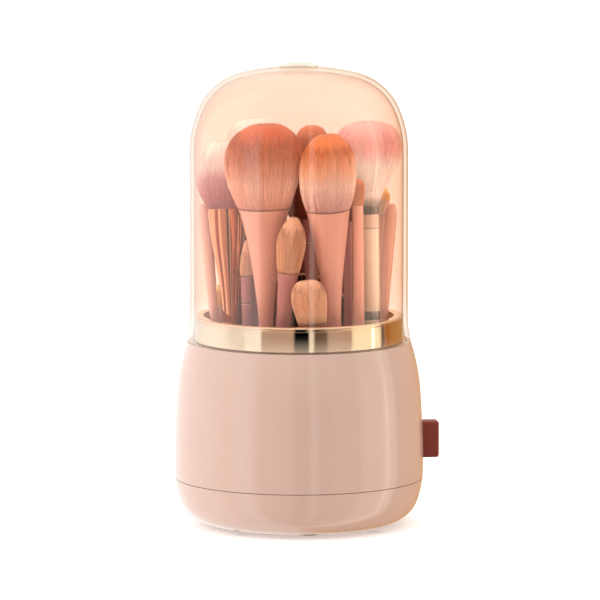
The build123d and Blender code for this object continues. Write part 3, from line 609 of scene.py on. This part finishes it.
PINK_HANDLE = lacquer("brush_pink", (0.76, 0.47, 0.42), 0.34)
MAUVE_HANDLE = lacquer("brush_mauve", (0.44, 0.22, 0.24), 0.3)
# Near-black maroon of the brushes at the back of the holder: partly their own colour, partly
# painted shade that darkens the gaps between the front brushes
DARK_HANDLE = lacquer("brush_maroon", (0.14, 0.03, 0.03), 0.3)
PALE_HANDLE = lacquer("brush_pale_pink", (0.86, 0.60, 0.55), 0.22)
CORAL_HANDLE = lacquer("brush_coral", (0.90, 0.50, 0.42), 0.25)
WHITE_HANDLE = lacquer("brush_white", (0.85, 0.76, 0.70), 0.25)
CHAMPAGNE = lacquer("brush_champagne", (0.93, 0.87, 0.75), 0.2)
AMBER_HANDLE = lacquer("brush_amber", (0.62, 0.30, 0.09), 0.25)
CLEAR_SLEEVE = lacquer("brush_sleeve_white", (0.80, 0.66, 0.58), 0.15)
ROSE_GOLD = metal("brush_rose_gold", (0.85, 0.47, 0.28), 0.12, brushed=(1, 1, 0.1))
GREY_BAND = metal("brush_grey_band", (0.16, 0.13, 0.12), 0.25)

# A hair ramp that starts dark and turns light within its first tenth has a dark ring at the root:
# painted shade in the gap where the hair leaves the handle
PEACH_HAIR = hair_material(
    "hair_peach",
    (
        (0.0, (0.20, 0.06, 0.04)), (0.03, (0.74, 0.42, 0.34)), (0.28, (0.86, 0.60, 0.50)),
        (0.50, (0.76, 0.42, 0.29)), (0.78, (0.62, 0.17, 0.04)), (1.0, (0.58, 0.10, 0.004)),
    ),
)
BLUSH_HAIR = hair_material(
    "hair_blush",
    (
        (0.0, (0.22, 0.07, 0.04)), (0.03, (0.66, 0.44, 0.42)), (0.34, (0.92, 0.76, 0.70)),
        (0.56, (0.95, 0.64, 0.46)), (0.80, (0.78, 0.29, 0.10)), (1.0, (0.70, 0.22, 0.05)),
    ),
)
ORANGE_HAIR = hair_material(
    "hair_orange", ((0.0, (0.62, 0.26, 0.14)), (0.6, (0.62, 0.21, 0.08)), (1.0, (0.66, 0.23, 0.09)))
)
BEIGE_HAIR = hair_material(
    "hair_beige",
    (
        (0.0, (0.30, 0.12, 0.08)), (0.06, (0.64, 0.42, 0.28)),
        (0.5, (0.72, 0.47, 0.32)), (1.0, (0.78, 0.54, 0.40)),
    ),
)
FLAT_HAIR = hair_material(
    "hair_flat",
    (
        (0.0, (0.40, 0.16, 0.10)), (0.06, (0.76, 0.50, 0.35)),
        (0.5, (0.76, 0.51, 0.36)), (1.0, (0.82, 0.60, 0.46)),
    ),
)
WHITE_MAUVE_HAIR = hair_material(
    "hair_white_over_mauve",
    (
        (0.0, (0.42, 0.16, 0.17)), (0.22, (0.62, 0.29, 0.31)), (0.44, (0.80, 0.52, 0.54)),
        (0.60, (0.96, 0.90, 0.90)), (1.0, (1.0, 0.97, 0.98)),
    ),
)
PINK_WHITE_HAIR = hair_material(
    "hair_pink_over_white",
    (
        (0.0, (0.34, 0.26, 0.24)), (0.10, (0.96, 0.90, 0.86)), (0.44, (1.0, 0.98, 0.94)),
        (0.64, (0.97, 0.64, 0.64)), (1.0, (0.96, 0.54, 0.57)),
    ),
)
CREAM_HAIR = hair_material(
    "hair_cream", ((0.0, (0.85, 0.66, 0.55)), (0.6, (0.98, 0.92, 0.88)), (1.0, (1.0, 1.0, 1.0)))
)
BROWN_HAIR = hair_material(
    "hair_brown", ((0.0, (0.16, 0.03, 0.012)), (0.6, (0.24, 0.05, 0.02)), (1.0, (0.34, 0.10, 0.04)))
)
AMBER_TIP_HAIR = hair_material(
    "hair_amber", ((0.0, (0.86, 0.66, 0.52)), (0.30, (0.90, 0.60, 0.24)), (1.0, (0.95, 0.74, 0.42)))
)

# node: handle material, its slot, sleeve material, hair material, hairs, strand half-thickness;
# a rod without hair ends in a round nose
BRUSHES = {
    "powder_brush": (PINK_HANDLE, "brush_pink", None, PEACH_HAIR, 3200, 0.17 * MM),
    "blush_brush": (PINK_HANDLE, "brush_pink", None, BLUSH_HAIR, 2400, 0.16 * MM),
    "bronzer_brush": (DARK_HANDLE, "brush_mauve", None, ORANGE_HAIR, 1300, 0.16 * MM),
    "concealer_brush": (MAUVE_HANDLE, "brush_mauve", None, BEIGE_HAIR, 1300, 0.12 * MM),
    "flat_brush": (MAUVE_HANDLE, "brush_mauve", MAUVE_HANDLE, FLAT_HAIR, 1300, 0.13 * MM),
    "brow_brush": (MAUVE_HANDLE, "brush_mauve", MAUVE_HANDLE, BROWN_HAIR, 500, 0.12 * MM),
    "fluffy_brush": (ROSE_GOLD, "brush_rose_gold", None, WHITE_MAUVE_HAIR, 2400, 0.14 * MM),
    "lip_brush": (PALE_HANDLE, "brush_pale_pink", None, None, 0, 0),
    "finishing_brush": (WHITE_HANDLE, "brush_white", None, CREAM_HAIR, 2200, 0.17 * MM),
    "highlighter_brush": (
        CHAMPAGNE, "brush_champagne", CLEAR_SLEEVE, PINK_WHITE_HAIR, 2600, 0.16 * MM
    ),
    "contour_brush": (CORAL_HANDLE, "brush_coral", None, ORANGE_HAIR, 500, 0.12 * MM),
    "smudge_brush": (PALE_HANDLE, "brush_pale_pink", None, None, 0, 0),
    "shader_brush": (PALE_HANDLE, "brush_pale_pink", CLEAR_SLEEVE, AMBER_TIP_HAIR, 300, 0.1 * MM),
    "liner_brush": (MAUVE_HANDLE, "brush_mauve", None, BROWN_HAIR, 200, 0.08 * MM),
    "crease_brushes": (MAUVE_HANDLE, "brush_mauve", MAUVE_HANDLE, BEIGE_HAIR, 500, 0.11 * MM),
    "mini_brush": (PALE_HANDLE, "brush_pale_pink", PALE_HANDLE, AMBER_TIP_HAIR, 350, 0.1 * MM),
    "angled_brush": (DARK_HANDLE, "brush_mauve", None, BROWN_HAIR, 1200, 0.15 * MM),
    "needle_brush": (AMBER_HANDLE, "brush_champagne", None, None, 0, 0),
    "blending_brush": (DARK_HANDLE, "brush_mauve", None, BROWN_HAIR, 700, 0.12 * MM),
    "setting_brush": (DARK_HANDLE, "brush_mauve", None, BROWN_HAIR, 700, 0.12 * MM),
}

# node: fullness, sway of the middle and of the tip
HAIR_STYLES = {
    "powder_brush": (1.04, -0.8 * MM, 2.0 * MM),
    "blush_brush": (1.03, 0.3 * MM, 2.0 * MM),
    "finishing_brush": (1.16, -1.0 * MM, -3.0 * MM),
    "fluffy_brush": (1.06, -0.4 * MM, -0.5 * MM),
    "highlighter_brush": (1.0, 0.0, 0.0),
    "flat_brush": (0.97, -0.3 * MM, -0.6 * MM),
    "angled_brush": (1.3, -1.3 * MM, -0.6 * MM),
}
PLAIN_STYLE = (1.03, 0.0, 0.0)

# Grey bands of the highlighter brush: name, number of the solid they go round, heights from
# the foot of the brush
GREY_BANDS = (("band", 0, 39.8 * MM, 43.9 * MM), ("smudge", 1, 91.2 * MM, 95.6 * MM))


def build_brushes():
    """Each brush from its CAD solids: handle, perhaps a ferrule, and its hair."""
    for seed, (node, spec) in enumerate(BRUSHES.items(), 11):
        handle_material, slot_name, sleeve_material, fibres, count, thickness = spec
        for index, solids in enumerate(sort_brushes(islands(node))):
            name = node if index == 0 else f"{node}_{index + 1}"
            place, flat = brush_frame(solids)
            stands_for = (node,) if index == 0 else ()
            tip = None if fibres else float(outline(solids[-1], place, flat)[0][-1])
            handle_piece(
                name + "_handle", solids[0], place, flat, handle_material, stands_for,
                tip,
            )
            if sleeve_material:
                handle_piece(name + "_ferrule", solids[1], place, flat, sleeve_material)
            if fibres:
                hair_piece(
                    name + "_hair", solids[-1], place, flat, fibres, count, seed * 10 + index,
                    thickness, HAIR_STYLES.get(node, PLAIN_STYLE),
                )
            if node == "highlighter_brush":
                for part, number, low, high in GREY_BANDS:
                    band_piece(
                        f"{node}_{part}", solids[number], place, GREY_BAND, low, high
                    )


# ---------------------------------------------------------------- dome, gold ring and divider
DOME_SIDES = 160


def build_dome():
    """The dome, turned finely enough for clean reflections, with a rounded rim."""
    low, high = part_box("dome_cover")
    wall = 2.2 * MM
    side_radius, side_top = 53.3 * MM, 183.14 * MM
    flare_top, flare_radius = 103 * MM, 53.7 * MM
    side_arc, shoulder_arc, crown_arc = 51 * MM, 30 * MM, 120 * MM
    side_turn = 25.0
    apex = high.z
    spread = side_radius - side_arc + (side_arc - shoulder_arc) * math.cos(math.radians(side_turn))
    crown_start = math.degrees(math.acos(spread / (crown_arc - shoulder_arc)))
    rim_height = low.z

    def skin(inset):
        """The profile from the flared foot to the apex, inset from the outer face."""
        flare_end = math.degrees(math.asin((flare_top - rim_height) / (flare_radius + inset)))
        points = arc_points(
            (side_radius + flare_radius, flare_top), flare_radius + inset,
            180 + flare_end, 180, 14,
        )
        points += [(side_radius - inset, z) for z in np.linspace(flare_top, side_top, 12)[1:-1]]
        centre_a = (side_radius - side_arc, side_top)
        points += arc_points(centre_a, side_arc - inset, 0, side_turn, 14)
        reach = side_arc - shoulder_arc
        centre_b = (
            centre_a[0] + reach * math.cos(math.radians(side_turn)),
            centre_a[1] + reach * math.sin(math.radians(side_turn)),
        )
        points += arc_points(centre_b, shoulder_arc - inset, side_turn, crown_start, 20)[1:]
        points += arc_points((0, apex - crown_arc), crown_arc - inset, crown_start, 90, 16)[1:]
        points[-1] = (0.0, apex - inset)
        return points

    outer = skin(0.0)
    middle = outer[0][0] - wall / 2
    rim = arc_points((middle, rim_height + wall * 0.32), wall * 0.5, 180, 360, 9)[1:-1]
    rim = [(r, max(z, rim_height)) for r, z in rim]
    outer = [p for p in outer if p[1] > rim_height + wall * 0.34]
    inner = [p for p in skin(wall) if p[1] > rim_height + wall * 0.34]
    profile = list(reversed(inner)) + rim + outer
    vertices, faces, _ = lathe(profile, DOME_SIDES)
    make_piece("dome_shell", vertices, faces, DOME, "dome", ("dome_cover",))


def build_trim_ring():
    """The plated ring: a plain band, a rolled bead over the rim and a small hem."""
    low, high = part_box("trim_ring")
    band = high.x + 0.75 * MM
    bore = band - 2.5 * MM
    lap = band - 4.45 * MM
    bead = 1.2 * MM
    curl = 0.35 * MM
    centre = (band + 0.15 * MM - bead, high.z - bead)
    profile = [(bore, low.z), (band - 0.3 * MM, low.z)]
    profile += arc_points((band - 0.3 * MM, low.z + 0.5 * MM), 0.5 * MM, -90, 20, 6)[1:]
    profile += [(band, z) for z in (low.z + 1.1 * MM, centre[1] - 1.5 * MM, centre[1] - 1.1 * MM)]
    profile += arc_points(centre, bead, -40, 90, 12)
    profile += [(lap + curl, high.z)]
    profile += arc_points((lap + curl, high.z - curl), curl, 90, 270, 8)[1:]
    profile += [(bore, high.z - 0.8 * MM)]
    vertices, faces, _ = lathe(profile, DOME_SIDES, closed=True)
    make_piece("gold_ring", vertices, faces, GOLD, "brush_holder", ("trim_ring",))


def build_divider():
    """The smoky plate across the holder, with a pale bead along its arch."""
    half, reach, shoulder = 1.05 * MM, 43.4 * MM, 97 * MM
    tongue, bottom, ledge = 34 * MM, 61.1 * MM, 63.8 * MM
    arch, centre, shift = 24.2 * MM, 98.9 * MM, 2.0 * MM
    start = math.degrees(math.asin((shoulder - centre) / arch))
    curve = arc_points((shift, centre), arch, start, 180 - start, 48)
    shape = [(-tongue, bottom), (tongue, bottom), (tongue, ledge), (reach, ledge)]
    shape += [(reach, shoulder)] + curve + [(-reach, shoulder), (-reach, ledge), (-tongue, ledge)]
    turn = Matrix.Rotation(VIEW_TURN, 4, "Z")
    count = len(shape)
    vertices = [turn @ Vector((x, y, z)) for y in (-half, half) for x, z in shape]
    faces = [tuple(range(count)), tuple(reversed(range(count, 2 * count)))]
    faces += [(i + count, (i + 1) % count + count, (i + 1) % count, i) for i in range(count)]
    make_piece(
        "divider_plate", vertices, faces, DIVIDER, "brush_holder",
        ("holder_divider",),
    )
    # The bead is an oval rod sunk into the edge of the arch
    sides, sunk, bead_height, bead_depth = 10, 0.5 * MM, 0.75 * MM, 1.15 * MM
    angles = np.linspace(0, 2 * math.pi, sides, endpoint=False)
    ring = [(math.cos(a), math.sin(a)) for a in angles]
    vertices, faces = [], []
    for x, z in curve:
        outward = Vector((x - shift, 0, z - centre)).normalized()
        for u, v in ring:
            point = Vector((x, 0, z)) + outward * (bead_height * u - sunk)
            vertices.append(turn @ (point + Vector((0, bead_depth * v, 0))))
    for row in range(0, (len(curve) - 1) * sides, sides):
        for i in range(sides):
            j = (i + 1) % sides
            faces.append((row + i, row + j, row + sides + j, row + sides + i))
    make_piece("divider_bead", vertices, faces, BEAD, "brush_holder")


# ---------------------------------------------------------------- stage, camera and light
def build_stage():
    """A white floor that glows a little, so that it stays as pale as the backdrop."""
    white = (0.93, 0.925, 0.92)
    material, tree, shader = new_material("floor_white", white, 0.8, Emission_Strength=0.32)
    shader.inputs["Emission Color"].default_value = (1.0, 1.0, 1.0, 1.0)
    vary(tree, shader, white, 0.008, 3)
    grain(tree, shader, 60, 0.05)
    half = 6.0
    mesh = bpy.data.meshes.new("floor")
    mesh.from_pydata(
        [(-half, -half, 0), (half, -half, 0), (half, half, 0), (-half, half, 0)], [], [(0, 1, 2, 3)]
    )
    mesh.materials.append(material)
    floor = bpy.data.objects.new("floor", mesh)
    floor.visible_glossy = False
    bpy.context.scene.collection.objects.link(floor)


def build_camera():
    """A long lens, a little above and to the left of the front."""
    distance, height = 2.69, 0.444
    target = Vector((0.0006, 0.0, 0.110))
    position = Vector((math.sin(VIEW_TURN) * distance, -math.cos(VIEW_TURN) * distance, height))
    data = bpy.data.cameras.new("camera")
    data.sensor_width = 36.0
    data.lens = 332.9
    data.clip_end = 50
    camera = bpy.data.objects.new("camera", data)
    camera.location = position
    camera.rotation_euler = (target - position).to_track_quat("-Z", "Y").to_euler()
    bpy.context.scene.collection.objects.link(camera)
    bpy.context.scene.camera = camera


def area_light(name, position, target, width, height, power, colour):
    """A soft rectangular lamp that neither the camera nor reflections see."""
    data = bpy.data.lights.new(name, "AREA")
    data.shape = "RECTANGLE"
    data.size, data.size_y = width, height
    data.energy = power
    data.color = colour
    lamp = bpy.data.objects.new(name, data)
    lamp.location = position
    aim = Vector(target) - Vector(position)
    lamp.rotation_euler = aim.to_track_quat("-Z", "Y").to_euler()
    lamp.visible_camera = False
    lamp.visible_glossy = False
    bpy.context.scene.collection.objects.link(lamp)


# Wall colours round the room by azimuth from the front in degrees, left negative
ROOM = (
    (-180, (1.5, 1.4, 1.3)),
    (-165, (1.4, 1.38, 1.36)),
    (-118, (1.5, 1.5, 1.5)),
    (-100, (1.5, 1.5, 1.5)),
    (-85, (1.2, 1.17, 1.15)),
    (-70, (1.2, 1.15, 1.1)),
    (-69, (1.45, 1.45, 1.45)),
    (-50, (1.45, 1.45, 1.45)),
    (-49, (0.66, 0.50, 0.42)),
    (-14, (0.70, 0.50, 0.40)),
    (-12, (0.0, 0.0, 0.0)),
    (3, (0.0, 0.0, 0.0)),
    (4, (1.2, 1.15, 1.05)),
    (8, (1.2, 1.15, 1.05)),
    (10, (0.18, 0.12, 0.08)),
    (23, (0.24, 0.17, 0.12)),
    (25, (0.66, 0.50, 0.42)),
    (52, (0.70, 0.50, 0.40)),
    (54, (1.5, 1.32, 1.0)),
    (80, (1.5, 1.32, 1.0)),
    (81, (3.6, 3.2, 2.6)),
    (84, (3.6, 3.2, 2.6)),
    (85, (1.5, 1.30, 0.95)),
    (95, (1.5, 1.30, 0.95)),
    (96, (0.12, 0.05, 0.03)),
    (101, (0.12, 0.05, 0.03)),
    (102, (0.55, 0.22, 0.06)),
    (114, (0.60, 0.27, 0.08)),
    (116, (0.66, 0.32, 0.10)),
    (165, (0.70, 0.40, 0.17)),
    (172, (1.3, 1.1, 0.9)),
    (180, (1.5, 1.4, 1.3)),
)


def build_light():
    """A pale room: bright walls with warm and dark stripes between them, and three lamps."""
    world = bpy.data.worlds.new("studio")
    bpy.context.scene.world = world
    world.use_nodes = True
    tree = world.node_tree
    background = tree.nodes["Background"]
    place = add_node(tree, "TexCoord")
    split = add_node(tree, "SeparateXYZ")
    tree.links.new(place.outputs["Generated"], split.inputs["Vector"])
    # Azimuth round the object: 0 at the front, positive to the right
    forward = add_node(tree, "Math", {1: -1.0}, operation="MULTIPLY")
    azimuth = add_node(tree, "Math", operation="ARCTAN2")
    tree.links.new(split.outputs["Y"], forward.inputs[0])
    tree.links.new(split.outputs["X"], azimuth.inputs[0])
    tree.links.new(forward.outputs["Value"], azimuth.inputs[1])
    turn = add_node(
        tree, "MapRange", {"From Min": -math.pi, "From Max": math.pi, "To Min": 0.0, "To Max": 1.0}
    )
    tree.links.new(azimuth.outputs["Value"], turn.inputs["Value"])
    room = ramp(tree, turn.outputs["Result"], [((a + 180) / 360, colour) for a, colour in ROOM])
    # The walls fade up into the ceiling, which reflections see brighter than it lights
    height = map_range(tree, split.outputs["Z"], 0.0, 1.0)
    path = add_node(tree, "LightPath")
    ceiling = add_node(
        tree, "MixRGB", {"Color1": (1.0, 1.0, 1.0, 1.0), "Color2": (1.8, 1.7, 1.55, 1.0)}
    )
    tree.links.new(path.outputs["Is Glossy Ray"], ceiling.inputs["Fac"])
    sky = add_node(tree, "MixRGB")
    tree.links.new(height, sky.inputs["Fac"])
    tree.links.new(room, sky.inputs["Color1"])
    tree.links.new(ceiling.outputs["Color"], sky.inputs["Color2"])
    # The backdrop itself is plain white
    white = add_node(tree, "MixRGB", {"Color2": (1.0, 1.0, 1.0, 1.0)})
    tree.links.new(path.outputs["Is Camera Ray"], white.inputs["Fac"])
    tree.links.new(sky.outputs["Color"], white.inputs["Color1"])
    tree.links.new(white.outputs["Color"], background.inputs["Color"])
    background.inputs["Strength"].default_value = 1.0
    area_light("left_window", (-1.35, -0.3, 0.5), (0, 0, 0.1), 0.7, 1.3, 9, (1.0, 0.98, 0.96))
    area_light("right_window", (1.4, -0.2, 0.4), (0, 0, 0.08), 0.7, 1.2, 3, (1.0, 0.97, 0.94))
    area_light("top_box", (0.1, -0.2, 1.7), (0, 0, 0), 1.6, 1.6, 9, (1.0, 0.99, 0.98))


# ---------------------------------------------------------------- build
dress_cad_nodes()
build_dome()
build_trim_ring()
build_divider()
build_brushes()
build_stage()
build_camera()
build_light()
bpy.context.scene.view_settings.view_transform = "Standard"
